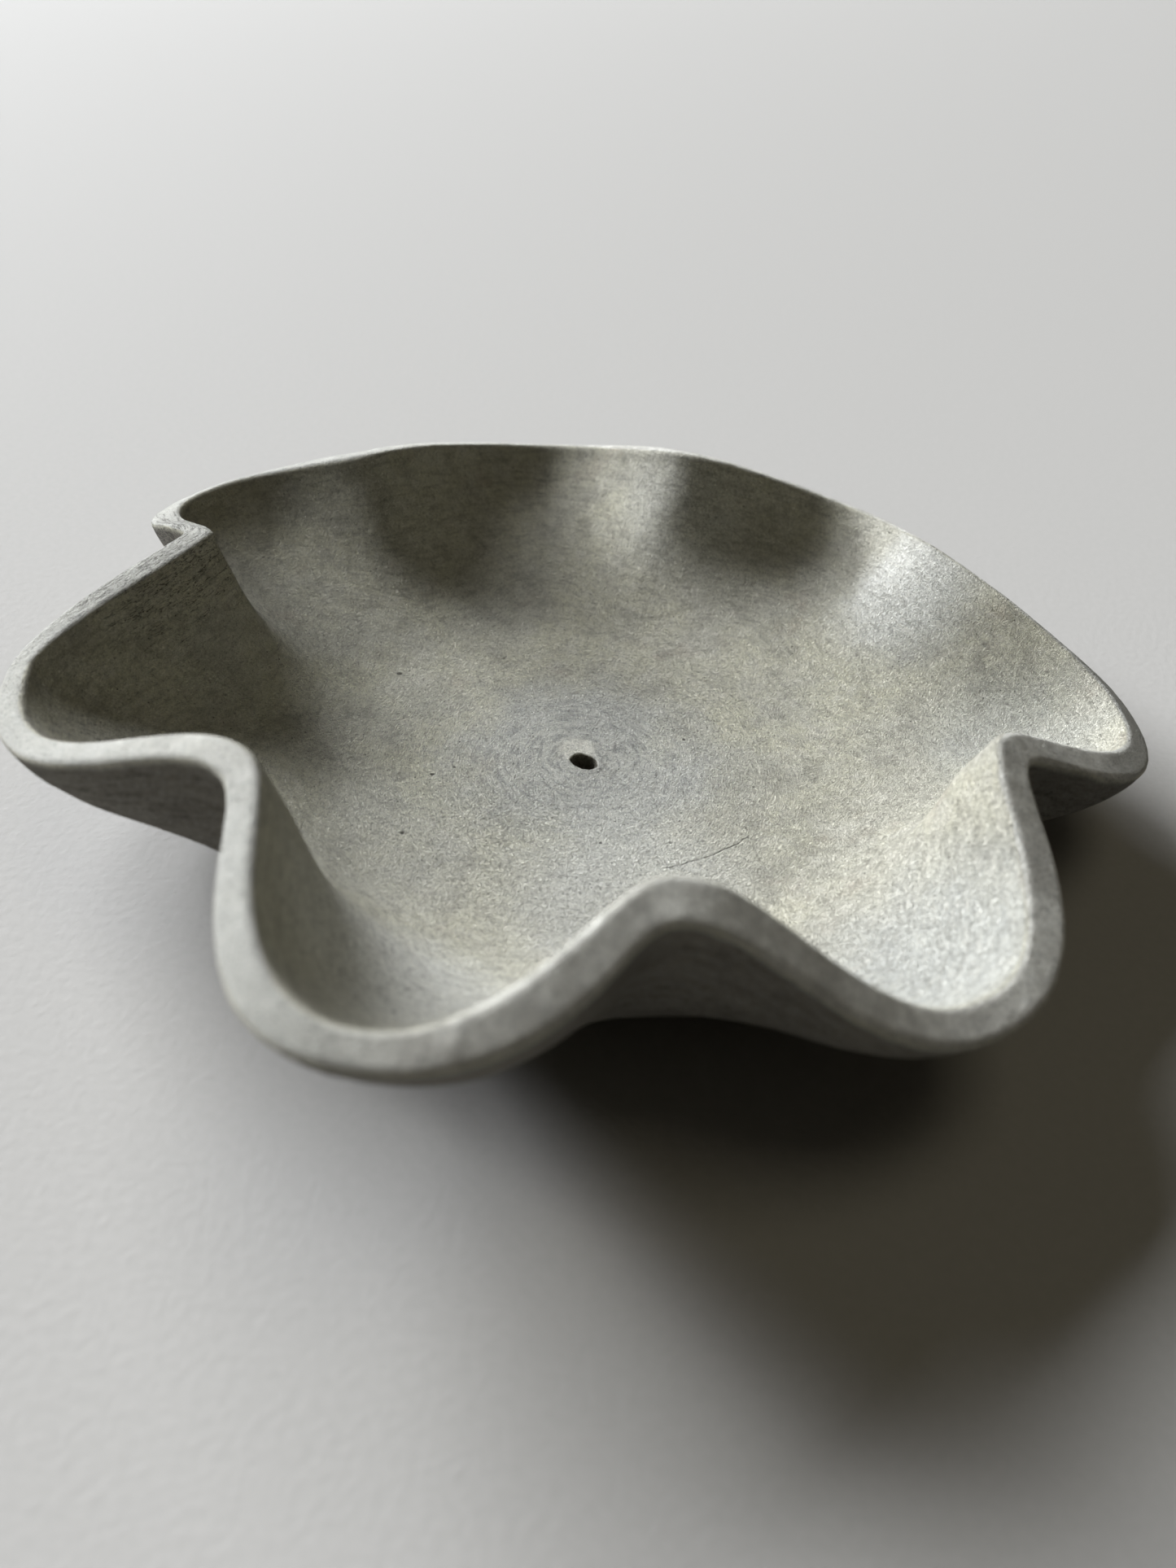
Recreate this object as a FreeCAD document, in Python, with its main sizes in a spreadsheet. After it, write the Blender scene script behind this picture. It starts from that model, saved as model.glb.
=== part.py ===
import FreeCAD, Part
import functools
import math
import os

# Ruffled bowl, formed in one piece from paper pulp.
# Millimetres, +Z up, origin at the centre of the foot, on the plane the bowl stands on.
# Angles are in degrees, anticlockwise from +X seen from above.

doc = FreeCAD.newDocument("ruffled_bowl")

# ---------------------------------------------------------------- driving dimensions

# name, value, what it is
SIZES = [
    ("floor_radius", 90.0, "radius of the flat floor, and of the flat foot below it"),
    ("floor_thick", 11.0, "thickness of the floor"),
    ("floor_handle", 0.26, "share of the wall's length that hugs the floor"),
    ("rim_handle", 0.26, "share of the wall's length that keeps the lip slope"),
    ("full_from", 0.80, "how far up the wall, as a share, the ruffles have their full depth"),
    ("even_over", 24.0, "degrees each way over which the ruffles even out at the floor"),
    ("lip_round_inside", 2.5, "rounding of the rim's inner edge"),
    ("lip_round_outside", 2.0, "rounding of the rim's outer edge"),
    ("hole_radius", 5.0, "radius of the hole in the middle of the floor"),
]

# The rim turns out into a lobe and in into a fold, seven times each, in this order.
# Each turn has its direction, the reach of the rim's inner edge from the axis, the
# height of that edge, and the slope and thickness of the wall there.  Cut is how far
# the rim's flat top leans from square across the wall towards level, and below 0 it leans
# further outwards.  Fullness shapes the flank from this turn to the next: above 1 it makes
# the lobe broad and the fold tight.
# name, direction, reach, height, slope, thickness, cut, fullness
TURNS = [
    ("fold_1", 36.5, 170.0, 64.0, 49.0, 12.0, 0.0, 1.05),
    ("lobe_1", 54.0, 191.5, 51.5, 67.0, 9.5, 0.0, 1.00),
    ("fold_2", 78.0, 156.5, 70.5, 71.0, 12.0, 0.0, 1.10),
    ("lobe_2", 101.0, 196.5, 50.5, 67.0, 9.5, 0.0, 1.00),
    ("fold_3", 128.5, 165.0, 67.5, 72.0, 12.0, 0.0, 1.10),
    ("lobe_3", 145.5, 206.0, 51.0, 61.0, 9.5, 0.0, 1.45),
    ("fold_4", 166.5, 150.0, 72.5, 83.0, 12.0, 0.0, 0.75),
    ("lobe_4", 189.5, 191.0, 55.0, 70.0, 9.5, 0.0, 1.25),
    ("fold_5", 232.0, 144.5, 95.5, 70.0, 10.5, 0.0, 0.95),
    ("lobe_5", 256.5, 205.5, 94.5, 63.0, 10.0, 8.0, 1.20),
    ("fold_6", 278.5, 155.0, 102.5, 71.0, 13.5, -2.0, 1.10),
    ("lobe_6", 308.5, 181.5, 60.0, 65.0, 11.5, 5.0, 1.05),
    ("fold_7", 335.5, 138.0, 82.0, 68.0, 13.5, -3.0, 1.40),
    ("lobe_7", 369.0, 197.0, 47.5, 77.0, 11.0, -18.0, 0.75),
]

sheet = doc.addObject("Spreadsheet::Sheet", "dims")
row = 1


def add_size(name, value, note):
    """Write one plain number with its name and note into the next row of the sheet."""
    global row
    sheet.set("A%d" % row, note)
    sheet.set("B%d" % row, str(value))
    sheet.setAlias("B%d" % row, name)
    row = row + 1


for name, value, note in SIZES:
    add_size(name, value, note)
for name, direction, reach, height, slope, thick, cut, fullness in TURNS:
    add_size(name + "_direction", direction, "direction of this turn from +X")
    add_size(name + "_reach", reach, "from the axis to the rim's inner edge")
    add_size(name + "_height", height, "height of the rim's inner edge")
    add_size(name + "_slope", slope, "slope of the wall at the rim")
    add_size(name + "_thick", thick, "thickness of the wall at the rim")
    add_size(name + "_cut", cut, "lean of the rim's flat top from square across the wall")
    add_size(name + "_fullness", fullness, "shape of the flank up to the next turn")
doc.recompute()


def size(name):
    """A driving dimension, read back from the sheet."""
    return float(sheet.get(name))


# ---------------------------------------------------------------- shape of the rim

SECTORS = 16            # faces round the axis in each surface
PER_SECTOR = 10         # half-planes worked out in each sector
UP = 9                  # stations from the floor to the rim
ON_CURVE = 0.01         # an edge this close to a rim curve lies along it
EVEN_STEPS = 6          # half-planes each way that are averaged to even out the ruffles
turn_names = [turn[0] for turn in TURNS]


def turn_values(name):
    """Reach, height, slope, thickness and cut at one turn of the rim."""
    return [size(name + kind) for kind in ("_reach", "_height", "_slope", "_thick", "_cut")]


@functools.lru_cache(maxsize=None)
def rim_at(angle):
    """Reach, height, slope, thickness and cut of the rim in the half-plane at an angle."""
    first = size(turn_names[0] + "_direction")
    angle = first + (angle - first) % 360.0
    for here, name in enumerate(turn_names):
        following = turn_names[(here + 1) % len(turn_names)]
        start = size(name + "_direction")
        end = size(following + "_direction")
        if end < start:
            end = end + 360.0
        if start <= angle <= end:
            break
    along = (angle - start) / (end - start)
    if name.startswith("lobe"):
        lobe, fold, from_lobe = name, following, along
    else:
        lobe, fold, from_lobe = following, name, 1.0 - along
    share = 0.5 + 0.5 * math.cos(math.pi * from_lobe ** size(name + "_fullness"))
    at_lobe = turn_values(lobe)
    at_fold = turn_values(fold)
    return [f + (o - f) * share for f, o in zip(at_fold, at_lobe)]


@functools.lru_cache(maxsize=None)
def evened_rim(angle):
    """The rim's values averaged over a stretch each side of an angle."""
    step = size("even_over") / EVEN_STEPS
    near = [rim_at(angle + k * step) for k in range(-EVEN_STEPS, EVEN_STEPS + 1)]
    return [sum(values) / len(near) for values in zip(*near)]


def values_at(angle, up):
    """The rim's values as the wall follows them at a station: evened out near the floor."""
    climbed = min(1.0, up / size("full_from"))
    share = climbed * climbed * (3.0 - 2.0 * climbed)
    return [e + (true - e) * share for e, true in zip(evened_rim(angle), rim_at(angle))]


def wall_curve(angle, up):
    """Control points (distance, height) of the inner face, as they apply at a station."""
    reach, height, slope, thick, cut = values_at(angle, up)
    start = (size("floor_radius"), size("floor_thick"))
    length = math.hypot(reach - start[0], height - start[1])
    low = (start[0] + size("floor_handle") * length, start[1])
    tilt = math.radians(slope)
    pull = size("rim_handle") * length
    high = (reach - pull * math.cos(tilt), height - pull * math.sin(tilt))
    return [start, low, high, (reach, height)], thick, cut


def wall_point(angle, up):
    """Inner point, outward unit normal in the half-plane, thickness and climb at a station.

    Climb is how far the outer face slides up along the wall, as a share of the thickness,
    to lean the rim's flat top towards level.  It grows from nothing near the rim.
    """
    points, thick_at_rim, cut = wall_curve(angle, up)
    down = 1.0 - up
    shares = (down ** 3, 3 * down ** 2 * up, 3 * down * up ** 2, up ** 3)
    point = [sum(s * p[i] for s, p in zip(shares, points)) for i in (0, 1)]
    steps = [(b[0] - a[0], b[1] - a[1]) for a, b in zip(points, points[1:])]
    shares = (down ** 2, 2 * down * up, up ** 2)
    along = [sum(s * d[i] for s, d in zip(shares, steps)) for i in (0, 1)]
    length = math.hypot(along[0], along[1])
    normal = (along[1] / length, -along[0] / length)
    thick = size("floor_thick") + (thick_at_rim - size("floor_thick")) * up
    climb = math.tan(math.radians(cut)) * up ** 4
    return point, normal, thick, climb


def wall_pair(angle, up):
    """Inner and outer points of the wall, as vectors.

    Where the rim runs slantwise across the half-plane, the outer point moves out by
    the secant of that slant, which keeps the wall's true thickness.
    """
    step = 0.5
    point, normal, thick, climb = wall_point(angle, up)
    before = wall_point(angle - step, up)[0]
    after = wall_point(angle + step, up)[0]
    turn = math.radians(2 * step) * point[0]
    slant = sum((a - b) * n for a, b, n in zip(after, before, normal)) / turn
    offset = thick * math.hypot(1.0, slant)
    outer = (point[0] + offset * (normal[0] - climb * normal[1]),
             point[1] + offset * (normal[1] + climb * normal[0]))
    turned = math.radians(angle)
    return [FreeCAD.Vector(r * math.cos(turned), r * math.sin(turned), z)
            for r, z in (point, outer)]


# ---------------------------------------------------------------- surfaces

def ring_curve(ring):
    """Smooth closed curve through a ring of points, running from 0 to 1 once round."""
    count = len(ring)
    curve = Part.BSplineCurve()
    curve.interpolate(Points=ring, PeriodicFlag=True,
                      Parameters=[i / count for i in range(count + 1)])
    return curve


def wall_faces(rings):
    """Faces of a surface that closes round the axis and runs upwards through the rings."""
    curves = [ring_curve(ring) for ring in rings]
    heights = [i / (len(rings) - 1) for i in range(len(rings))]
    columns = []
    for column in zip(*[curve.getPoles() for curve in curves]):
        upward = Part.BSplineCurve()
        if len(column) == 2:
            upward.buildFromPolesMultsKnots(list(column), [2, 2], [0.0, 1.0], False, 1)
        else:
            upward.interpolate(Points=list(column), Parameters=heights)
        columns.append(upward)
    surface = Part.BSplineSurface()
    surface.buildFromPolesMultsKnots(
        [column.getPoles() for column in columns],
        curves[0].getMultiplicities(), columns[0].getMultiplicities(),
        curves[0].getKnots(), columns[0].getKnots(),
        True, False, curves[0].Degree, columns[0].Degree)
    faces = []
    for i in range(SECTORS):
        patch = surface.copy()
        patch.segment(i / SECTORS, (i + 1) / SECTORS, 0.0, 1.0)
        faces.append(patch.toShape())
    return faces


def flat_disc(ring):
    """Flat face inside a closed ring of points."""
    arcs = []
    for i in range(SECTORS):
        arc = ring_curve(ring)
        arc.segment(i / SECTORS, (i + 1) / SECTORS)
        arcs.append(arc.toShape())
    return Part.Face(Part.Wire(arcs))


def wall_rings():
    """Rings of inner points and of outer points, from the floor up to the rim."""
    count = SECTORS * PER_SECTOR
    angles = [360.0 * i / count for i in range(count)]
    inner = []
    outer = []
    for station in range(UP):
        pairs = [wall_pair(angle, station / (UP - 1)) for angle in angles]
        inner.append([pair[0] for pair in pairs])
        outer.append([pair[1] for pair in pairs])
    return inner, outer


def pulp_solid(inner, outer):
    """Floor, ruffled wall, flat-cut rim and foot as one closed solid, without the hole."""
    faces = [flat_disc(inner[0]), flat_disc(outer[0])]
    faces = faces + wall_faces(inner)
    faces = faces + wall_faces([inner[-1], outer[-1]])
    faces = faces + wall_faces(outer)
    shell = Part.makeShell(faces)
    shell.sewShape()
    solid = Part.makeSolid(shell)
    if solid.Volume < 0:
        solid.reverse()
    return solid


def edges_along(shape, ring):
    """Numbers of the shape's edges that lie along the smooth curve through a ring."""
    path = ring_curve(ring).toShape()
    found = []
    for number, edge in enumerate(shape.Edges, 1):
        middle = edge.valueAt(0.5 * (edge.FirstParameter + edge.LastParameter))
        places = [middle] + [vertex.Point for vertex in edge.Vertexes]
        gaps = [path.distToShape(Part.Vertex(place))[0] for place in places]
        if max(gaps) < ON_CURVE:
            found.append(number)
    return found


# ---------------------------------------------------------------- the bowl

inner_rings, outer_rings = wall_rings()

pulp = doc.addObject("Part::Feature", "pulp")
pulp.Shape = pulp_solid(inner_rings, outer_rings)
pulp.Placement = FreeCAD.Placement()

hole_tool = doc.addObject("Part::Cylinder", "hole_tool")
hole_tool.setExpression("Radius", "dims.hole_radius")
hole_tool.setExpression("Height", "3 * dims.floor_thick")
hole_tool.setExpression("Placement.Base.z", "-dims.floor_thick")

pierced = doc.addObject("Part::Cut", "pierced")
pierced.Base = pulp
pierced.Tool = hole_tool
doc.recompute()

bowl = doc.addObject("Part::Fillet", "bowl")
bowl.Label = "ruffled_bowl"
bowl.Base = pierced
inside = size("lip_round_inside")
outside = size("lip_round_outside")
rounds = [(number, inside, inside)
          for number in edges_along(pierced.Shape, inner_rings[-1])]
rounds = rounds + [(number, outside, outside)
                   for number in edges_along(pierced.Shape, outer_rings[-1])]
bowl.Edges = rounds
bowl.Placement = FreeCAD.Placement()
doc.recompute()

# ---------------------------------------------------------------- checks and files

for item in doc.Objects:
    for state in item.State:
        if state in ("Invalid", "Error"):
            raise RuntimeError("%s is %s" % (item.Name, state))

if len(rounds) != 2 * SECTORS:
    raise RuntimeError("the rim has %d rounded edges" % len(rounds))

os.makedirs("parts", exist_ok=True)
for part in (bowl,):
    if part.Shape.isNull() or not part.Shape.isValid() or len(part.Shape.Solids) != 1:
        raise RuntimeError("%s is not one valid solid" % part.Label)
    part.Shape.exportStep("parts/%s.step" % part.Label)
    box = part.Shape.BoundBox
    print(part.Label, "%.1f x %.1f x %.1f" % (box.XLength, box.YLength, box.ZLength),
          "volume %.0f" % part.Shape.Volume)
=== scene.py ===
import math
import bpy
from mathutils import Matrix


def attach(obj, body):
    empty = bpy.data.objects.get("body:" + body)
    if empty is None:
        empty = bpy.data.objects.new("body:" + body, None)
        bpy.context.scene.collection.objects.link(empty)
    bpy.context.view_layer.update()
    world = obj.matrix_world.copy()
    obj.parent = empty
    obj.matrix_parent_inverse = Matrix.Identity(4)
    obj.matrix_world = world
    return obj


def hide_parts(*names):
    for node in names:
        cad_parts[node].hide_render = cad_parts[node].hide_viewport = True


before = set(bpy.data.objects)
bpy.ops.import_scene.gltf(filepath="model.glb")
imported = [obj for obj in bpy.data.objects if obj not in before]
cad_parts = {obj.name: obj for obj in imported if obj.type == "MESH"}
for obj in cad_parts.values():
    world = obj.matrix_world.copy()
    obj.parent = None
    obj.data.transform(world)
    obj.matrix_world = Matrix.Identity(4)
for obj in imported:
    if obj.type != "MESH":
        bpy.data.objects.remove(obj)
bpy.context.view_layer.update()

from types import SimpleNamespace
import bpy
import numpy as np
from mathutils import Matrix, Vector, noise

# A ruffled bowl of pale paper pulp, seen on a plain table in soft light from one side.
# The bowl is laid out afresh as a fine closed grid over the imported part, then given its
# uneven hand-formed surface. Lengths in the mesh are metres, and in the material millimetres.

NODE = "ruffled_bowl"
MM = 0.001

# The grid: columns run round the bowl, rows run along the cut face of the wall.
COLUMNS = 1152
FLOOR_EDGE = 85.0 * MM      # the flat floor is laid out in circles out to here
FLOOR_ROWS = 62
WALL_ROWS = 98
RIM_ROWS = 14
OUTER_ROWS = 84
FOOT_ROWS = 26
HOLE_ROWS = 9
HALVING_RADII = (44.0 * MM, 23.0 * MM, 12.0 * MM)   # the columns thin out inside each of these
FIRST_COLUMN = 0.37         # of a column's width past +X, to keep the slices off any seam there

# How the rim's corners are found along a slice's outline.
OUTLINE_STEP = 0.25 * MM
TURN_REACH = 8              # steps each way over which the outline's turn is taken
RIM_BEYOND = 110.0 * MM     # the corners are looked for only farther from the axis than this
RIM_BAND = (5.0 * MM, 20.0 * MM)    # least and most distance between its two corners
CORNER_SPREAD = 1.5         # columns over which the corners' places are evened out
SKIN_SPREAD = 1.3           # columns over which the skin is evened out


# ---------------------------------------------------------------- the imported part, cut in slices

def cad_mesh():
    """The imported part's corners, edges, and the three edges of each of its triangles."""
    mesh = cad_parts[NODE].data
    points = np.empty(len(mesh.vertices) * 3)
    mesh.vertices.foreach_get("co", points)
    mesh.calc_loop_triangles()
    triangles = np.empty(len(mesh.loop_triangles) * 3, dtype=np.int64)
    mesh.loop_triangles.foreach_get("vertices", triangles)
    points, joined = np.unique(points.reshape(-1, 3).round(7), axis=0, return_inverse=True)
    triangles = joined.ravel()[triangles.reshape(-1, 3)]
    sides = np.stack([triangles[:, [0, 1]], triangles[:, [1, 2]], triangles[:, [2, 0]]], axis=1)
    sides = np.sort(sides, axis=2)
    edges, edge_of_side = np.unique(sides.reshape(-1, 2), axis=0, return_inverse=True)
    return points, edges, edge_of_side.reshape(-1, 3)


def slice_outline(part, angle):
    """The outline that the half-plane at this angle cuts, as distance from the axis and height.

    It starts at the top of the hole and runs over the floor, up the wall, round the rim,
    down the outside and back under the foot to the bottom of the hole."""
    points, edges, triangle_edges = part
    out = np.array((math.cos(angle), math.sin(angle), 0.0))
    across = np.array((-math.sin(angle), math.cos(angle), 0.0))
    offset = points @ across
    crossed = (offset[edges[:, 0]] >= 0) != (offset[edges[:, 1]] >= 0)
    cut = triangle_edges[crossed[triangle_edges].sum(axis=1) == 2]
    pairs = cut[crossed[cut]].reshape(-1, 2)
    ends = edges[pairs]
    a, b = offset[ends[..., 0]], offset[ends[..., 1]]
    share = (a / (a - b))[..., None]
    places = points[ends[..., 0]] * (1 - share) + points[ends[..., 1]] * share
    spot = {}
    meets = {}
    for (first, second), (p, q) in zip(pairs.tolist(), places):
        if p @ out > 0:
            spot[first] = (p @ out, p[2])
            spot[second] = (q @ out, q[2])
            meets.setdefault(first, []).append(second)
            meets.setdefault(second, []).append(first)
    start = max(spot, key=lambda edge: spot[edge][1] * 0.5 - spot[edge][0])
    before, here = start, max(meets[start], key=lambda edge: spot[edge][0])
    chain = [start]
    while here != start:
        chain.append(here)
        ahead = meets[here][0] if meets[here][0] != before else meets[here][1]
        before, here = here, ahead
    return np.array([spot[edge] for edge in chain + [start]])


def run_length(outline):
    return np.concatenate(([0.0], np.cumsum(np.hypot(*np.diff(outline, axis=0).T))))


def at_length(outline, lengths, wanted):
    return np.stack([np.interp(wanted, lengths, outline[:, k]) for k in (0, 1)], axis=-1)


def landmarks(outline):
    """How far along the outline these lie: the floor edge, the rim's inner and outer corners,
    the foot edge and the hole's bottom, and the outline's whole length.

    The rim's corners are the two sharpest turns of the outline far out from the axis."""
    lengths = run_length(outline)
    total = lengths[-1]
    steps = np.arange(0.0, total, OUTLINE_STEP)
    line = at_length(outline, lengths, steps)
    reach = TURN_REACH
    ahead = line[2 * reach:] - line[reach:-reach]
    behind = line[reach:-reach] - line[:-2 * reach]
    crossing = behind[:, 0] * ahead[:, 1] - behind[:, 1] * ahead[:, 0]
    turn = np.arctan2(crossing, (behind * ahead).sum(axis=1))
    middle = line[reach:-reach]
    turn[middle[:, 0] < RIM_BEYOND] = 0.0
    along = steps[reach:-reach]
    sharpest = along[np.argmin(turn)]
    gap = np.abs(along - sharpest)
    across_rim = (gap > RIM_BAND[0]) & (gap < RIM_BAND[1])
    other = along[np.argmin(np.where(across_rim, turn, 0.0))]
    inner, outer = sorted((sharpest, other))
    floor_edge = steps[np.argmax(line[:, 0] > FLOOR_EDGE)]
    late = steps > outer
    foot_edge = steps[late][np.argmax(line[late, 0] < FLOOR_EDGE)]
    hole_radius = outline[0, 0]
    hole_bottom = foot_edge + FLOOR_EDGE - hole_radius
    return np.array((floor_edge, inner, outer, foot_edge, hole_bottom, total))


def eased(count, start, end):
    """Fractions from 0 up to but not including 1, whose steps grow or shrink from start to end."""
    steps = np.linspace(start, end, count)
    marks = np.concatenate(([0.0], np.cumsum(steps)))
    return marks[:-1] / marks[-1]


def smooth_round(values, spread):
    """Evens values out round the bowl, with a bell-shaped weight as wide as spread columns."""
    wide = int(spread * 3) + 1
    weights = {k: math.exp(-0.5 * (k / spread) ** 2) for k in range(-wide, wide + 1)}
    total = sum(weights.values())
    return sum(np.roll(values, k, axis=-1) * w for k, w in weights.items()) / total


def bowl_grid():
    """Points of the bowl, row by row along each slice and column by column round the axis.

    Also each point's run along its slice from the inner rim corner, the rim's own length up
    to each column, and the row numbers where each stretch of the outline starts."""
    part = cad_mesh()
    angles = (np.arange(COLUMNS) + FIRST_COLUMN) * 2 * math.pi / COLUMNS
    outlines = [slice_outline(part, angle) for angle in angles]
    marks = np.array([landmarks(outline) for outline in outlines]).T
    marks[1:3] = smooth_round(marks[1:3], CORNER_SPREAD)
    # Rows in each stretch of the outline, and how close together they start and end.
    stretches = ((FLOOR_ROWS, 0.35, 1.0), (WALL_ROWS, 1.0, 0.62), (RIM_ROWS, 1.0, 1.0),
                 (OUTER_ROWS, 0.55, 1.2), (FOOT_ROWS, 1.0, 0.5), (HOLE_ROWS, 1.0, 1.0))
    rows = []
    starts = []
    begin = np.zeros(COLUMNS)
    for (count, first, last), end in zip(stretches, marks):
        starts.append(sum(len(block) for block in rows))
        rows.append(begin + eased(count, first, last)[:, None] * (end - begin))
        begin = end
    runs = np.concatenate(rows)
    flat = np.empty((len(runs), COLUMNS, 2))
    for column, outline in enumerate(outlines):
        flat[:, column] = at_length(outline, run_length(outline), runs[:, column])
    distance = smooth_round(flat[..., 0], SKIN_SPREAD)
    height = smooth_round(flat[..., 1], SKIN_SPREAD)
    grid = np.stack((distance * np.cos(angles), distance * np.sin(angles), height), axis=-1)
    rim = grid[starts[2]]
    rim_steps = np.linalg.norm(np.roll(rim, -1, axis=0) - rim, axis=1)
    rim_length = np.concatenate(([0.0], np.cumsum(rim_steps)))
    return grid, runs - marks[1], rim_length, starts


# ---------------------------------------------------------------- the hand-formed surface

def outward(grid):
    """The direction straight out of the pulp at each point of the closed grid."""
    along = np.roll(grid, -1, axis=0) - np.roll(grid, 1, axis=0)
    round_ = np.roll(grid, -1, axis=1) - np.roll(grid, 1, axis=1)
    normal = np.cross(round_, along)
    return normal / np.maximum(np.linalg.norm(normal, axis=-1, keepdims=True), 1e-12)


def noise_over(places, size, seed):
    """Smooth random heights from about -1 to 1 whose lumps are about size across."""
    shift = Vector((seed * 7.31, seed * 3.17, seed * 5.93))
    flat = (places.reshape(-1, 3) / size).tolist()
    values = [noise.noise(Vector(place) + shift) for place in flat]
    return np.array(values).reshape(places.shape[:-1])


def step_up(values, low, high):
    """0 below low, 1 above high and a soft step between."""
    share = np.clip((values - low) / (high - low), 0.0, 1.0)
    return share * share * (3 - 2 * share)


def hand_formed(grid, starts):
    """The grid with the unevenness of wet pulp pressed and rubbed by hand."""
    normal = outward(grid)
    radius = np.hypot(grid[..., 0], grid[..., 1])
    rows = np.arange(len(grid))[:, None] + 0 * radius
    on_rim = (rows >= starts[2]) & (rows < starts[3])
    inside = rows < starts[2]
    under = (rows >= starts[4]) & (rows < starts[5])
    in_hole = rows >= starts[5]

    waves = 0.55 * MM * noise_over(grid, 42 * MM, 1)
    lumps = 0.22 * MM * noise_over(grid, 14 * MM, 2)
    pulp = 0.10 * MM * noise_over(grid, 4.2 * MM, 3) + 0.06 * MM * noise_over(grid, 2.1 * MM, 4)
    lift = waves + lumps + pulp

    # Faint turning rings on the floor, dying away by the hole and at the floor's edge.
    swept = np.stack((radius, np.arctan2(grid[..., 1], grid[..., 0]) * 9 * MM, 0 * radius), axis=-1)
    rings = noise_over(swept, 6.5 * MM, 5)
    ring_zone = inside * step_up(radius, 12 * MM, 24 * MM) * (1 - step_up(radius, 78 * MM, 96 * MM))
    lift += 0.16 * MM * rings * ring_zone

    # The rim is rubbed smoother, with a few shallow knocks along it.
    knocks = np.clip(noise_over(grid, 9 * MM, 6) - 0.42, 0.0, 1.0)
    lift = np.where(on_rim, 0.75 * waves + 0.5 * lumps + 0.6 * pulp, lift) - 0.9 * MM * knocks * on_rim

    # The foot stays flat enough to stand on, so nothing there goes below the table.
    lift = np.where(under, -np.abs(0.5 * pulp) - 0.05 * MM, lift)
    lift = np.where(in_hole, 0.0, lift)
    near_hole = step_up(radius, 5.5 * MM, 9 * MM)
    formed = grid + normal * (lift * np.where(inside | under, near_hole, 1.0))[..., None]
    formed[..., 2] = np.maximum(formed[..., 2], 0.0)
    return ragged_hole(formed)


def ragged_hole(grid):
    """The small hole through the floor, pushed through by hand and not quite round."""
    radius = np.hypot(grid[..., 0], grid[..., 1])
    angle = np.arctan2(grid[..., 1], grid[..., 0])
    near = 1 - step_up(radius, 5.2 * MM, 11 * MM)
    wander = 0.55 * MM * np.cos(2 * (angle - math.radians(150)))
    wander += 0.45 * MM * noise_over(grid, 3.1 * MM, 7) + 0.3 * MM * noise_over(grid, 1.4 * MM, 8)
    out = np.stack((np.cos(angle), np.sin(angle), 0 * angle), axis=-1)
    return grid + out * (wander * near)[..., None]


# ---------------------------------------------------------------- the mesh

def columns_kept(row_radius):
    """Every how many columns a row of this radius keeps a point."""
    return 2 ** sum(row_radius < radius for radius in HALVING_RADII)


def bowl_faces(grid):
    """The points kept, and faces round the closed grid with five corners where the columns halve."""
    radii = np.hypot(grid[..., 0], grid[..., 1]).mean(axis=1)
    keep = [columns_kept(radius) for radius in radii]
    first = np.concatenate(([0], np.cumsum([COLUMNS // step for step in keep])))
    faces = []
    for row in range(len(grid)):
        after = (row + 1) % len(grid)
        step = max(keep[row], keep[after])
        for column in range(0, COLUMNS, step):
            near = [first[row] + (column + k) % COLUMNS // keep[row]
                    for k in range(0, step + 1, keep[row])]
            far = [first[after] + (column + k) % COLUMNS // keep[after]
                   for k in range(0, step + 1, keep[after])]
            faces.append(near[::-1] + far)
    kept = [(row, column) for row in range(len(grid)) for column in range(0, COLUMNS, keep[row])]
    return np.array(kept), faces


def put_values(mesh, name, values):
    """A number or a triple on each of the mesh's points, for the material to read."""
    kind, field = ("FLOAT_VECTOR", "vector") if values.ndim == 2 else ("FLOAT", "value")
    layer = mesh.attributes.new(name, kind, "POINT")
    layer.data.foreach_set(field, np.ascontiguousarray(values, dtype=np.float32).ravel())


DRAWN_OUT = 7.0             # how many times longer marks along the rim are than wide


def make_bowl():
    """The bowl's mesh object, with the values on its points that the material reads."""
    grid, run, rim_length, starts = bowl_grid()
    formed = hand_formed(grid, starts)
    kept, faces = bowl_faces(formed)
    row, column = kept.T
    mesh = bpy.data.meshes.new("bowl_pulp")
    mesh.from_pydata(formed[row, column].tolist(), [], faces)
    mesh.polygons.foreach_set("use_smooth", np.ones(len(mesh.polygons), dtype=bool))

    # Places as if the wall were unrolled: round the rim, squeezed so that marks lie along it,
    # and down from the rim's inner corner.
    turn = rim_length[:-1] / rim_length[-1] * 2 * math.pi
    squeezed = rim_length[-1] / (2 * math.pi) / DRAWN_OUT
    east = squeezed * np.cos(turn[column])
    north = squeezed * np.sin(turn[column])
    flow = np.stack((east, north, run[row, column]), axis=1)
    put_values(mesh, "flow", flow / MM)
    band_width = (run[starts[3]] - run[starts[2]])[column]
    put_values(mesh, "down", run[row, column] / MM)
    put_values(mesh, "past_rim", (run[row, column] - band_width) / MM)
    inside = (row < starts[2]).astype(float)
    put_values(mesh, "inside", inside)
    mesh.update()
    piece = bpy.data.objects.new("bowl_pulp", mesh)
    bpy.context.scene.collection.objects.link(piece)
    return piece


# ---------------------------------------------------------------- node helpers

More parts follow.
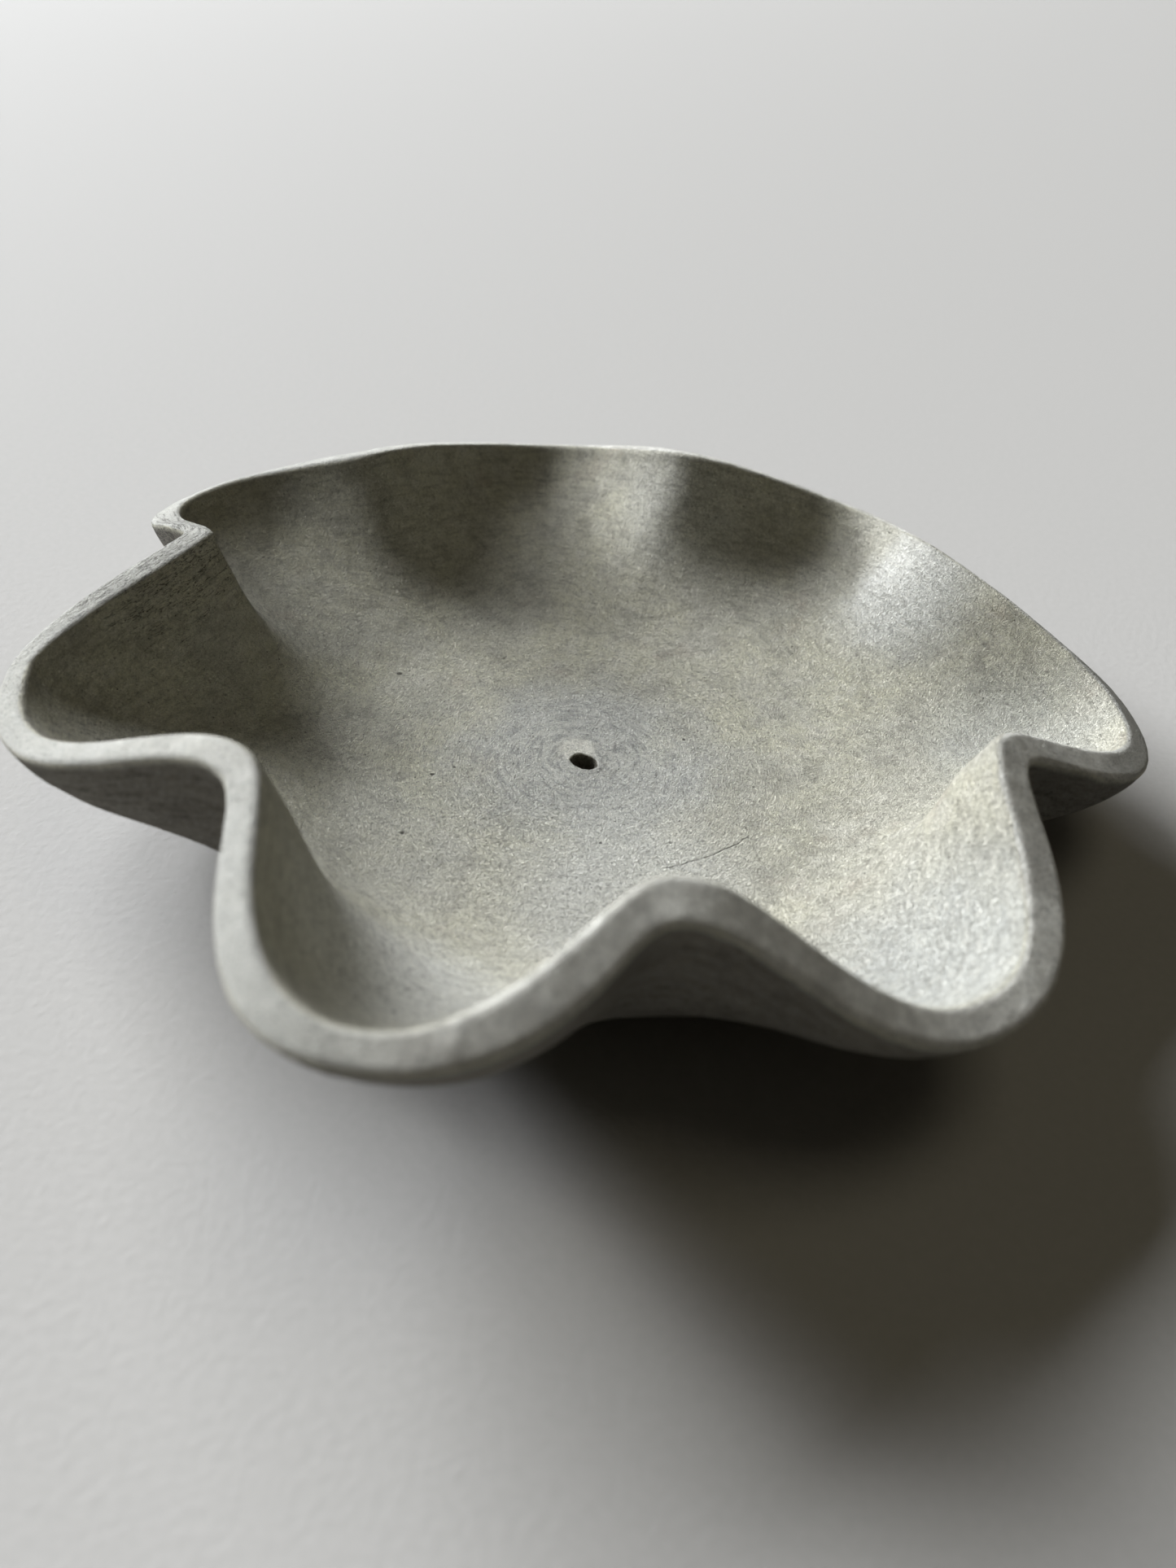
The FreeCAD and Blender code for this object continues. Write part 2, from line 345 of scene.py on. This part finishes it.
class Shade:
    """One material's node tree, with short words for the nodes it needs."""

    def __init__(self, name):
        self.material = bpy.data.materials.new(name)
        self.material.use_nodes = True
        self.tree = self.material.node_tree
        self.tree.nodes.clear()
        out = self.tree.nodes.new("ShaderNodeOutputMaterial")
        self.surface = self.tree.nodes.new("ShaderNodeBsdfPrincipled")
        self.tree.links.new(self.surface.outputs["BSDF"], out.inputs["Surface"])

    def plug(self, socket, value):
        if isinstance(value, bpy.types.NodeSocket):
            self.tree.links.new(value, socket)
        elif value is not None:
            socket.default_value = value

    def math(self, operation, a, b=None):
        node = self.tree.nodes.new("ShaderNodeMath")
        node.operation = operation
        self.plug(node.inputs[0], a)
        self.plug(node.inputs[1], b)
        return node.outputs[0]

    def add(self, a, b):
        return self.math("ADD", a, b)

    def less(self, a, b):
        return self.math("SUBTRACT", a, b)

    def times(self, a, b):
        return self.math("MULTIPLY", a, b)

    def most(self, a, b):
        return self.math("MAXIMUM", a, b)

    def step(self, value, low, high, from_=0.0, to=1.0):
        """A soft step from from_ to to as value goes from low to high."""
        node = self.tree.nodes.new("ShaderNodeMapRange")
        node.interpolation_type = "SMOOTHSTEP"
        self.plug(node.inputs["Value"], value)
        for name, number in (("From Min", low), ("From Max", high), ("To Min", from_), ("To Max", to)):
            self.plug(node.inputs[name], number)
        return node.outputs["Result"]

    def value_of(self, name):
        node = self.tree.nodes.new("ShaderNodeAttribute")
        node.attribute_name = name
        return node.outputs["Fac"]

    def triple_of(self, name):
        node = self.tree.nodes.new("ShaderNodeAttribute")
        node.attribute_name = name
        return node.outputs["Vector"]

    def place_mm(self):
        """The place on the object in millimetres."""
        coordinates = self.tree.nodes.new("ShaderNodeTexCoord")
        return self.vector("SCALE", coordinates.outputs["Object"], scale=1000.0)

    def vector(self, operation, a, b=None, scale=None):
        node = self.tree.nodes.new("ShaderNodeVectorMath")
        node.operation = operation
        self.plug(node.inputs[0], a)
        if b is not None:
            self.plug(node.inputs[1], b)
        if scale is not None:
            self.plug(node.inputs["Scale"], scale)
        return node.outputs["Value" if operation in ("LENGTH", "DISTANCE", "DOT_PRODUCT") else "Vector"]

    def parts(self, vector):
        node = self.tree.nodes.new("ShaderNodeSeparateXYZ")
        self.plug(node.inputs[0], vector)
        return node.outputs

    def join(self, x, y, z):
        node = self.tree.nodes.new("ShaderNodeCombineXYZ")
        for socket, value in zip(node.inputs, (x, y, z)):
            self.plug(socket, value)
        return node.outputs[0]

    def noise(self, place, size_mm, detail=2.0, rough=0.5, bend=0.0, shift=0.0):
        """Noise from 0 to 1 whose lumps are about size_mm across."""
        node = self.tree.nodes.new("ShaderNodeTexNoise")
        moved = self.vector("ADD", place, (shift * 13.7, shift * 5.1, shift * 9.3)) if shift else place
        self.plug(node.inputs["Vector"], moved)
        self.plug(node.inputs["Scale"], 1.0 / size_mm)
        self.plug(node.inputs["Detail"], detail)
        self.plug(node.inputs["Roughness"], rough)
        self.plug(node.inputs["Distortion"], bend)
        return node.outputs["Fac"]

    def stretched(self, place, lean, tilt, times):
        """Places turned and squeezed, so that noise over them draws out along one direction."""
        node = self.tree.nodes.new("ShaderNodeMapping")
        node.vector_type = "TEXTURE"
        self.plug(node.inputs["Vector"], place)
        node.inputs["Rotation"].default_value = (0.0, tilt, lean)
        node.inputs["Scale"].default_value = (times, 1.0, 1.0)
        return node.outputs[0]

    def noise_triple(self, place, size_mm):
        """Three unlike noises at once, each from about -0.5 to 0.5, to push places about with."""
        node = self.tree.nodes.new("ShaderNodeTexNoise")
        self.plug(node.inputs["Vector"], place)
        self.plug(node.inputs["Scale"], 1.0 / size_mm)
        self.plug(node.inputs["Detail"], 1.0)
        return self.vector("SUBTRACT", node.outputs["Color"], (0.5, 0.5, 0.5))

    def cells(self, place, size_mm):
        node = self.tree.nodes.new("ShaderNodeTexVoronoi")
        self.plug(node.inputs["Vector"], place)
        self.plug(node.inputs["Scale"], 1.0 / size_mm)
        return node.outputs

    def line(self, value, level, width):
        """1 where value is at level, falling to 0 at width either side."""
        away = self.math("ABSOLUTE", self.less(value, level))
        return self.step(away, 0.0, width, 1.0, 0.0)

    def mix(self, share, a, b):
        node = self.tree.nodes.new("ShaderNodeMix")
        node.data_type = "RGBA"
        self.plug(node.inputs[0], share)
        self.plug(node.inputs[6], a)
        self.plug(node.inputs[7], b)
        return node.outputs[2]

    def tint(self, colour, other, share, strength):
        """The colour moved towards another where share is above 0, by at most strength."""
        return self.mix(self.times(share, strength), colour, other)

    def bump(self, height_mm):
        """The surface's direction with this relief on it."""
        node = self.tree.nodes.new("ShaderNodeBump")
        self.plug(node.inputs["Strength"], 1.0)
        self.plug(node.inputs["Distance"], MM)
        self.plug(node.inputs["Height"], height_mm)
        return node.outputs["Normal"]


# ---------------------------------------------------------------- paper pulp

WARM_PULP = (0.794, 0.766, 0.601, 1.0)
PALE_PULP = (0.853, 0.825, 0.719, 1.0)
GREY_PULP = (0.664, 0.645, 0.537, 1.0)
WORN_PULP = (0.729, 0.729, 0.688, 1.0)
DULL_PULP = (0.330, 0.314, 0.264, 1.0)
# Painted shade: the outside's pulp is painted far darker than the inside, because it faces away from
# the light.
SHADED_OUTSIDE_PULP = (0.240, 0.216, 0.180, 1.0)
UNDER_DARK = (0.090, 0.072, 0.055, 1.0)
RING_SHADE = (0.230, 0.236, 0.240, 1.0)
# Dark grit specks, and also the painted shade in the cracks, in the pits and in the gaps between
# fibres.
DARK_FLECK_AND_CREVICE_SHADE = (0.060, 0.055, 0.045, 1.0)
RUST_STAIN = (0.420, 0.330, 0.260, 1.0)
RIM_PALE = (0.704, 0.695, 0.649, 1.0)
RIM_DARK = (0.484, 0.473, 0.435, 1.0)
RIM_GREY = (0.324, 0.324, 0.308, 1.0)
# Painted light: a white for the patches where the light falls brightest, and a cool grey for the lit
# walls of the right lobes.
PAINTED_LIGHT_WHITE = (0.945, 0.940, 0.871, 1.0)
PAINTED_COOL_LIGHT_GREY = (0.699, 0.712, 0.681, 1.0)

# Where single marks lie, in millimetres from the hole. These places, and those of the pits
# below, were worked out outside this script.
HALO_CENTRE = (-3.5, 7.0, 11.0)
CRACK_CENTRE = (-3.6, 25.6)
CRACK_RADIUS = 87.7
CRACK_FROM = math.radians(-69)
CRACK_TO = math.radians(-40)

# Small dark pits at set places on the inside: x, y and radius.
LONE_PITS = (
    (-55.4, -16.7, 1.0),
    (-47.8, -11.1, 0.7),
    (8.6, -45.0, 0.7),
    (38.1, 19.5, 0.9),
    (-78.8, 45.7, 1.4),
)

# Painted light: patches painted paler where the light falls brightest, on the crests of the folds, over
# the front of the floor and in the bottom of the front left lobe, and painted cooler on the lit walls
# of the front right and right lobes: centre, radius, colour and strength.
PAINTED_LIGHT_PATCHES = (
    ((122.0, 90.0, 52.0), 44.0, PAINTED_LIGHT_WHITE, 1.00),     # the crest of the fold at the back right
    ((29.0, 136.0, 52.0), 40.0, PAINTED_LIGHT_WHITE, 0.45),     # the crest of the fold at the back
    ((18.0, -74.0, 11.0), 58.0, PAINTED_LIGHT_WHITE, 0.70),     # the front of the floor
    ((-65.0, -62.0, 11.0), 50.0, PAINTED_LIGHT_WHITE, 0.35),    # the floor at the front left
    ((-50.0, -140.0, 45.0), 55.0, PAINTED_LIGHT_WHITE, 0.95),   # the bottom of the front left lobe
    ((118.0, -118.0, 30.0), 62.0, PAINTED_COOL_LIGHT_GREY, 0.80),     # the front right lobe
    ((160.0, 20.0, 35.0), 45.0, PAINTED_COOL_LIGHT_GREY, 0.60),       # the right lobe
)

# Fibres lie in three directions: lean and tilt in degrees.
FIBRE_DIRECTIONS = ((12, 25), (68, -35), (128, 50))
FIBRE_MM = 0.50             # across a fibre
FIBRE_DRAWN_OUT = 5.0       # how many times longer than wide
SWEEP_MM = 12.0             # how far the floor's fibres are drawn out along the sweep, per radian

# How far each kind of mark is shaded as standing up or sunk, in millimetres of bump.
STRAND_RELIEF = 0.85
GRIT_RELIEF = 0.85
MOTTLE_RELIEF = 0.60
GAP_DEPTH = 0.40
CRACK_DEPTH = 0.90
PIT_DEPTH = 0.80
RING_RELIEF = 0.30


def pulp_places(shade):
    """Where each point of the bowl lies, and the zones that the marks keep to."""
    place = shade.place_mm()
    x, y, _ = shade.parts(place)
    radius = shade.math("SQRT", shade.add(shade.times(x, x), shade.times(y, y)))
    down = shade.value_of("down")
    past = shade.value_of("past_rim")
    inside = shade.value_of("inside")
    return SimpleNamespace(
        place=place, x=x, y=y, radius=radius, down=down, inside=inside,
        flow=shade.triple_of("flow"),
        turn=shade.math("ARCTAN2", y, x),
        outside=shade.step(past, 0.5, 3.0),
        band=shade.times(shade.step(down, -0.4, 1.0), shade.step(past, -1.0, 0.6, 1.0, 0.0)),
        floor=shade.times(shade.step(radius, 70.0, 105.0, 1.0, 0.0), inside),
        wall=shade.times(shade.step(radius, 70.0, 110.0), inside),
        ringed=shade.times(shade.step(radius, 60.0, 96.0, 1.0, 0.0), inside))


def pulp_marks(shade, at):
    """The kinds of unevenness that both the colour and the relief follow."""
    drift = shade.times(shade.noise(at.place, 60.0, detail=1.0, shift=7.0), 9.0)
    circling = shade.join(shade.add(at.radius, drift), shade.times(at.turn, 5.0), 0.0)
    patch = shade.noise(at.place, 9.0, detail=3.0, rough=0.6, shift=1.0)
    uneven = shade.times(shade.less(patch, 0.5), 6.0)
    halo_edge = shade.add(shade.vector("DISTANCE", at.place, HALO_CENTRE), uneven)
    strands, gaps = fibres(shade, at)
    return SimpleNamespace(
        strands=strands, gaps=gaps, patch=patch,
        speck=shade.noise(at.place, 0.8, detail=2.0, rough=0.6, shift=5.0),
        grit=shade.noise(at.place, 0.9, detail=3.0, rough=0.7, shift=10.0),
        mottle=shade.noise(at.place, 2.8, detail=5.0, rough=0.75, shift=15.0),
        strokes=shade.noise(at.flow, 1.9, detail=4.0, rough=0.65, shift=16.0),
        rings=shade.noise(circling, 2.1, detail=3.0, rough=0.6),
        halo=shade.times(shade.step(halo_edge, 4.5, 9.5, 1.0, 0.0), at.inside),
        cracks=shade.most(fissures(shade, at), floor_crack(shade, at)),
        holes=all_pits(shade, at))


def fibres(shade, at):
    """Short thin fibres lying in three directions, and along the sweep of the hand on the floor.

    Gives how high the strands stand and where thin dark gaps lie between them."""
    push = shade.vector("SCALE", shade.noise_triple(at.place, 5.0), scale=2.0)
    bent = shade.vector("ADD", at.place, push)
    swept_place = shade.join(at.radius, shade.times(at.turn, SWEEP_MM), 0.0)
    strands = 0.0
    for number, (lean, tilt) in enumerate(FIBRE_DIRECTIONS):
        laid = shade.stretched(bent, math.radians(lean), math.radians(tilt), FIBRE_DRAWN_OUT)
        lies = shade.noise(laid, FIBRE_MM, detail=2.0, rough=0.6, shift=2.0 + number)
        strands = shade.most(shade.step(lies, 0.50, 0.68), strands)
    swept = shade.step(shade.noise(swept_place, FIBRE_MM, detail=2.0, rough=0.6), 0.48, 0.64)
    strands = shade.most(strands, shade.times(swept, at.floor))

    sparse = shade.step(shade.noise(at.place, 1.6, detail=1.5, shift=4.0), 0.46, 0.60)
    crossed = shade.stretched(bent, math.radians(40), math.radians(10), 2.6)
    hair = shade.line(shade.noise(crossed, 0.62, detail=1.0, shift=3.0), 0.5, 0.05)
    swept_noise = shade.noise(swept_place, 0.62, detail=1.0, rough=0.6, shift=12.0)
    swept_hair = shade.line(swept_noise, 0.5, 0.06)
    off_floor = shade.times(hair, shade.less(1.0, at.floor))
    hair = shade.add(off_floor, shade.times(swept_hair, at.floor))
    return strands, shade.times(hair, sparse)


def pits(shade, place, size_mm, share, radius):
    """Small holes: a share of the cells of this size hold one, of this radius in cells."""
    cells = shade.cells(place, size_mm)
    chosen = shade.step(shade.parts(cells["Color"])[0], 0.98 - share, 1.02 - share)
    wander = shade.times(shade.less(shade.noise(place, size_mm * 0.18), 0.5), 0.12)
    ragged = shade.add(cells["Distance"], wander)
    return shade.times(shade.step(ragged, radius * 0.55, radius, 1.0, 0.0), chosen)


def lone_pits(shade, at):
    """The small dark pits at set places, each with an uneven edge."""
    wander = shade.times(shade.less(shade.noise(at.place, 1.1, detail=1.0), 0.5), 0.9)
    found = 0.0
    for pit_x, pit_y, pit_radius in LONE_PITS:
        away = shade.vector("DISTANCE", shade.join(at.x, at.y, 0.0), (pit_x, pit_y, 0.0))
        pit = shade.step(shade.add(away, wander), pit_radius * 0.5, pit_radius, 1.0, 0.0)
        found = shade.most(pit, found)
    return shade.times(found, at.inside)


def all_pits(shade, at):
    small = pits(shade, at.place, 3.4, 0.22, 0.12)
    large = pits(shade, shade.vector("ADD", at.place, (3.0, 8.0, 5.0)), 19.0, 0.10, 0.05)
    return shade.most(shade.most(small, large), lone_pits(shade, at))


def floor_crack(shade, at):
    """The thin curved crack at the front right of the floor."""
    east = shade.less(at.x, CRACK_CENTRE[0])
    north = shade.less(at.y, CRACK_CENTRE[1])
    away = shade.math("SQRT", shade.add(shade.times(east, east), shade.times(north, north)))
    wander = shade.times(shade.less(shade.noise(at.place, 6.0, detail=3.0, rough=0.7), 0.5), 2.4)
    thread = shade.line(shade.add(away, wander), CRACK_RADIUS, 0.42)
    turn = shade.math("ARCTAN2", north, east)
    begun = shade.step(turn, CRACK_FROM, CRACK_FROM + 0.06)
    unended = shade.step(turn, CRACK_TO - 0.05, CRACK_TO, 1.0, 0.0)
    return shade.times(thread, shade.times(begun, unended))


def fissures(shade, at):
    """Cracks where layers of pulp part, lying along the rim: most by the left lobe and outside."""
    layers = shade.noise(at.flow, 0.60, detail=1.5, rough=0.55, bend=0.2)
    where = shade.noise(at.flow, 2.4, detail=2.5, rough=0.65, shift=8.0)
    turn = shade.math("ARCTAN2", at.y, shade.times(at.x, -1.0))
    from_left = shade.math("ABSOLUTE", shade.less(turn, 0.17))
    left_lobe = shade.step(from_left, 0.10, 0.34, 1.0, 0.0)
    near_rim = shade.step(at.down, -40.0, -2.0)
    more = shade.add(shade.times(shade.times(left_lobe, near_rim), 0.28), shade.times(at.outside, 0.13))
    cracked = shade.step(shade.add(where, more), 0.66, 0.74)
    return shade.times(shade.line(layers, 0.5, 0.055), cracked)


def pulp_colour(shade, at, marks):
    """The pulp seen inside the bowl, from warm to grey, with its patches, rings and worn middle, and
    patches of painted light where the light falls brightest.
    """
    broad = shade.noise(at.place, 38.0, detail=3.0, rough=0.55)
    dull = shade.noise(at.place, 13.0, detail=4.0, rough=0.7, shift=11.0)
    stain = shade.noise(at.place, 24.0, detail=4.0, rough=0.65, shift=9.0)
    wobble = shade.times(shade.less(shade.noise(at.place, 20.0, detail=3.0, shift=6.0), 0.5), 50.0)
    worn = shade.times(shade.step(shade.add(at.radius, wobble), 26.0, 66.0, 1.0, 0.0), at.inside)
    colour = shade.mix(shade.step(broad, 0.38, 0.64), WARM_PULP, GREY_PULP)
    colour = shade.tint(colour, PALE_PULP, shade.step(marks.patch, 0.42, 0.70), 0.50)
    colour = shade.tint(colour, DULL_PULP, shade.step(dull, 0.50, 0.66), 0.40)
    colour = shade.tint(colour, RUST_STAIN, shade.step(stain, 0.58, 0.72), 0.30)
    colour = shade.tint(colour, WORN_PULP, worn, 0.75)

    # Turning rings, darker towards the hole, and the rubbed spot beside it.
    ring_strength = shade.step(at.radius, 16.0, 62.0, 0.46, 0.14)
    ring_lines = shade.times(shade.step(marks.rings, 0.48, 0.64), at.ringed)
    colour = shade.tint(colour, RING_SHADE, ring_lines, ring_strength)
    colour = shade.tint(colour, PALE_PULP, marks.halo, 0.55)

    # Painted light: paler and cooler patches where the light falls brightest.
    uneven = shade.times(shade.less(marks.patch, 0.5), 22.0)
    for centre, reach, tint, strength in PAINTED_LIGHT_PATCHES:
        away = shade.add(shade.vector("DISTANCE", at.place, centre), uneven)
        near = shade.step(away, reach * 0.35, reach, strength, 0.0)
        colour = shade.mix(shade.times(near, at.inside), colour, tint)

    colour = shade.tint(colour, DULL_PULP, shade.step(marks.mottle, 0.50, 0.64), 0.32)
    colour = shade.tint(colour, PALE_PULP, shade.step(marks.mottle, 0.48, 0.36), 0.30)
    dark_strokes = shade.times(shade.step(marks.strokes, 0.50, 0.64), at.wall)
    pale_strokes = shade.times(shade.step(marks.strokes, 0.48, 0.36), at.wall)
    colour = shade.tint(colour, DULL_PULP, dark_strokes, 0.34)
    return shade.tint(colour, PALE_PULP, pale_strokes, 0.30)


def outside_colour_with_painted_shade(shade, at, marks, colour):
    """The outside, much darker as painted shade and browner, streaked along the rim."""
    # Painted shade: the outside darkened as if it lay in shade.
    colour = shade.tint(colour, SHADED_OUTSIDE_PULP, at.outside, 0.82)
    streaks = shade.times(shade.step(marks.strokes, 0.46, 0.66), at.outside)
    return shade.tint(colour, UNDER_DARK, streaks, 0.35)


def rim_colour(shade, at, marks):
    """The rim's cut face, rubbed pale and blotched grey, greyest at the left and far right."""
    blotch = shade.noise(at.place, 3.6, detail=3.0, rough=0.65, shift=14.0)
    colour = shade.mix(shade.step(marks.patch, 0.36, 0.62), RIM_PALE, RIM_DARK)
    colour = shade.tint(colour, RIM_GREY, shade.step(blotch, 0.48, 0.66), 0.50)
    front_left = shade.times(shade.step(at.x, -20.0, -60.0), shade.step(at.y, -100.0, -145.0))
    greyed = shade.most(shade.step(at.x, -40.0, -150.0, 0.0, 0.75), shade.times(front_left, 0.85))
    greyed = shade.most(greyed, shade.step(at.x, 165.0, 190.0, 0.0, 0.80))
    return shade.mix(greyed, colour, RIM_GREY)


def flecked_and_crevice_shaded(shade, at, marks, colour):
    """The colour with its specks, and with painted shade dark between the fibres, in the cracks and in
    the pits.
    """
    off_rim = shade.less(1.0, shade.times(at.band, 0.85))
    rim_specks = shade.times(shade.step(marks.grit, 0.54, 0.72), at.band)
    between = shade.times(shade.less(1.0, marks.strands), off_rim)
    colour = shade.tint(colour, DARK_FLECK_AND_CREVICE_SHADE, rim_specks, 0.35)
    colour = shade.tint(colour, DARK_FLECK_AND_CREVICE_SHADE, shade.step(marks.grit, 0.52, 0.68), 0.38)
    colour = shade.tint(colour, PALE_PULP, shade.step(marks.speck, 0.45, 0.75), 0.22)
    # Painted shade: the gaps and the hollows between raised strands darkened where shade falls.
    colour = shade.tint(colour, DARK_FLECK_AND_CREVICE_SHADE, shade.times(marks.gaps, off_rim), 0.45)
    colour = shade.tint(colour, DARK_FLECK_AND_CREVICE_SHADE, between, 0.20)
    # Painted shade: the cracks and pits darkened as if shade lay in them.
    colour = shade.tint(colour, DARK_FLECK_AND_CREVICE_SHADE, marks.cracks, 0.85)
    return shade.tint(colour, DARK_FLECK_AND_CREVICE_SHADE, marks.holes, 0.80)


def relief(shade, at, marks):
    """The bump in millimetres, with its fibres flatter on the rubbed rim and by the hole."""
    rough = shade.less(1.0, shade.most(shade.times(at.band, 0.85), shade.times(marks.halo, 0.6)))
    height = shade.times(shade.times(marks.strands, STRAND_RELIEF), rough)
    height = shade.add(height, shade.times(marks.grit, GRIT_RELIEF))
    height = shade.add(height, shade.times(marks.mottle, MOTTLE_RELIEF))
    height = shade.less(height, shade.times(shade.times(marks.gaps, rough), GAP_DEPTH))
    height = shade.less(height, shade.times(marks.cracks, CRACK_DEPTH))
    height = shade.less(height, shade.times(marks.holes, PIT_DEPTH))
    return shade.less(height, shade.times(shade.times(marks.rings, at.ringed), RING_RELIEF))


def bowl_material():
    """Matt paper pulp for the whole bowl."""
    shade = Shade("paper_pulp")
    at = pulp_places(shade)
    marks = pulp_marks(shade, at)
    colour = pulp_colour(shade, at, marks)
    colour = outside_colour_with_painted_shade(shade, at, marks, colour)
    colour = shade.tint(colour, rim_colour(shade, at, marks), at.band, 0.85)
    colour = flecked_and_crevice_shaded(shade, at, marks, colour)
    shade.plug(shade.surface.inputs["Base Color"], colour)
    shade.plug(shade.surface.inputs["Roughness"], shade.step(marks.patch, 0.2, 0.8, 0.80, 0.95))
    shade.plug(shade.surface.inputs["Specular IOR Level"], 0.22)
    shade.plug(shade.surface.inputs["Normal"], shade.bump(relief(shade, at, marks)))
    return shade.material


# ---------------------------------------------------------------- table, light and camera

FLOOR_HALF = 6.0            # the floor reaches this far each way
FLOOR_GREY = (0.42, 0.41, 0.39, 1.0)
FLOOR_PALE = (0.48, 0.465, 0.445, 1.0)


def table_top():
    """A plain pale floor under and behind the bowl."""
    shade = Shade("pale_floor")
    grain = shade.noise(shade.place_mm(), 3.0, detail=3.0, rough=0.6)
    shade.plug(shade.surface.inputs["Base Color"], shade.mix(grain, FLOOR_GREY, FLOOR_PALE))
    shade.plug(shade.surface.inputs["Roughness"], 0.95)
    shade.plug(shade.surface.inputs["Normal"], shade.bump(shade.times(grain, 0.15)))
    corners = [(FLOOR_HALF * east, FLOOR_HALF * north, 0)
               for east, north in ((-1, -1), (1, -1), (1, 1), (-1, 1))]
    mesh = bpy.data.meshes.new("floor")
    mesh.from_pydata(corners, [], [(0, 1, 2, 3)])
    mesh.materials.append(shade.material)
    floor = bpy.data.objects.new("floor", mesh)
    bpy.context.scene.collection.objects.link(floor)


LAMPS_FAR = 24.0            # far enough off to light the floor evenly
DAYLIGHT = (0.93, 0.96, 1.0)
ROOM_LIGHT = (1.0, 0.92, 0.70)
ROOM_STRENGTH = 0.024
BACKDROP = (0.60, 0.59, 0.57, 1.0)      # what the camera sees past the floor's edge


def lamp(name, azimuth, elevation, width, height, strength, colour):
    """A soft rectangular lamp in this direction from the bowl, in degrees, facing it.

    Width and height are shares of its distance, and strength is its watts for each square
    metre in a square as wide as that distance."""
    light = bpy.data.lights.new(name, "AREA")
    light.shape = "RECTANGLE"
    light.size = width * LAMPS_FAR
    light.size_y = height * LAMPS_FAR
    light.energy = strength * LAMPS_FAR ** 2
    light.color = colour
    a, e = math.radians(azimuth), math.radians(elevation)
    away = Vector((math.cos(a) * math.cos(e), math.sin(a) * math.cos(e), math.sin(e)))
    thing = bpy.data.objects.new(name, light)
    thing.location = away * LAMPS_FAR
    thing.rotation_mode = "QUATERNION"
    thing.rotation_quaternion = (-away).to_track_quat("-Z", "Y")
    bpy.context.scene.collection.objects.link(thing)


def light_scene():
    """A low wide soft window to the left and behind, and a dim warm room."""
    lamp("window_low", 137, 17, 0.61, 0.25, 18.9, DAYLIGHT)
    lamp("window_side", 160, 28, 0.28, 0.28, 7.8, DAYLIGHT)
    lamp("window_high", 141, 41, 0.44, 0.25, 5.6, DAYLIGHT)
    lamp("ceiling", 0, 80, 0.44, 0.44, 0.72, ROOM_LIGHT)
    world = bpy.data.worlds.new("room")
    world.use_nodes = True
    nodes, links = world.node_tree.nodes, world.node_tree.links
    room = nodes["Background"]
    room.inputs["Color"].default_value = (*ROOM_LIGHT, 1.0)
    room.inputs["Strength"].default_value = ROOM_STRENGTH
    backdrop = nodes.new("ShaderNodeBackground")
    backdrop.inputs["Color"].default_value = BACKDROP
    seen = nodes.new("ShaderNodeLightPath")
    choice = nodes.new("ShaderNodeMixShader")
    links.new(seen.outputs["Is Camera Ray"], choice.inputs["Fac"])
    links.new(room.outputs[0], choice.inputs[1])
    links.new(backdrop.outputs[0], choice.inputs[2])
    links.new(choice.outputs[0], nodes["World Output"].inputs["Surface"])
    bpy.context.scene.world = world
    bpy.context.scene.view_settings.view_transform = "Standard"


# Where the camera stands, how it leans and its lens, as fitted outside this script.
CAMERA_DISTANCE = 0.4636
CAMERA_ELEVATION = math.radians(39.37)
CAMERA_YAW = math.radians(0.286)
CAMERA_PITCH = math.radians(-0.018)
CAMERA_ROLL = math.radians(-5.662)
LENS_MM = 27.56
SENSOR_MM = 36.0
LENS_STOP = 5.6


def place_camera(bowl):
    """The camera in front of the bowl, looking down at the hole, and leaning a little."""
    back = Vector((0.0, -math.cos(CAMERA_ELEVATION), math.sin(CAMERA_ELEVATION)))
    right = Vector((1.0, 0.0, 0.0))
    level = Matrix((right, back.cross(right), back))
    lean = Matrix.Rotation(CAMERA_ROLL, 3, "Z")
    lean = lean @ Matrix.Rotation(CAMERA_PITCH, 3, "X") @ Matrix.Rotation(CAMERA_YAW, 3, "Y")
    camera = bpy.data.objects.new("camera", bpy.data.cameras.new("camera"))
    turn = (lean @ level).transposed().to_4x4()
    camera.matrix_world = Matrix.Translation(back * CAMERA_DISTANCE) @ turn
    camera.data.sensor_width = SENSOR_MM
    camera.data.lens = LENS_MM
    camera.data.clip_start = 0.01
    camera.data.dof.use_dof = True
    camera.data.dof.focus_object = bowl
    camera.data.dof.aperture_fstop = LENS_STOP
    bpy.context.scene.collection.objects.link(camera)
    bpy.context.scene.camera = camera


bowl = make_bowl()
bowl.data.materials.append(bowl_material())
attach(bowl, "root")
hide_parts(NODE)
table_top()
light_scene()
place_camera(bowl)
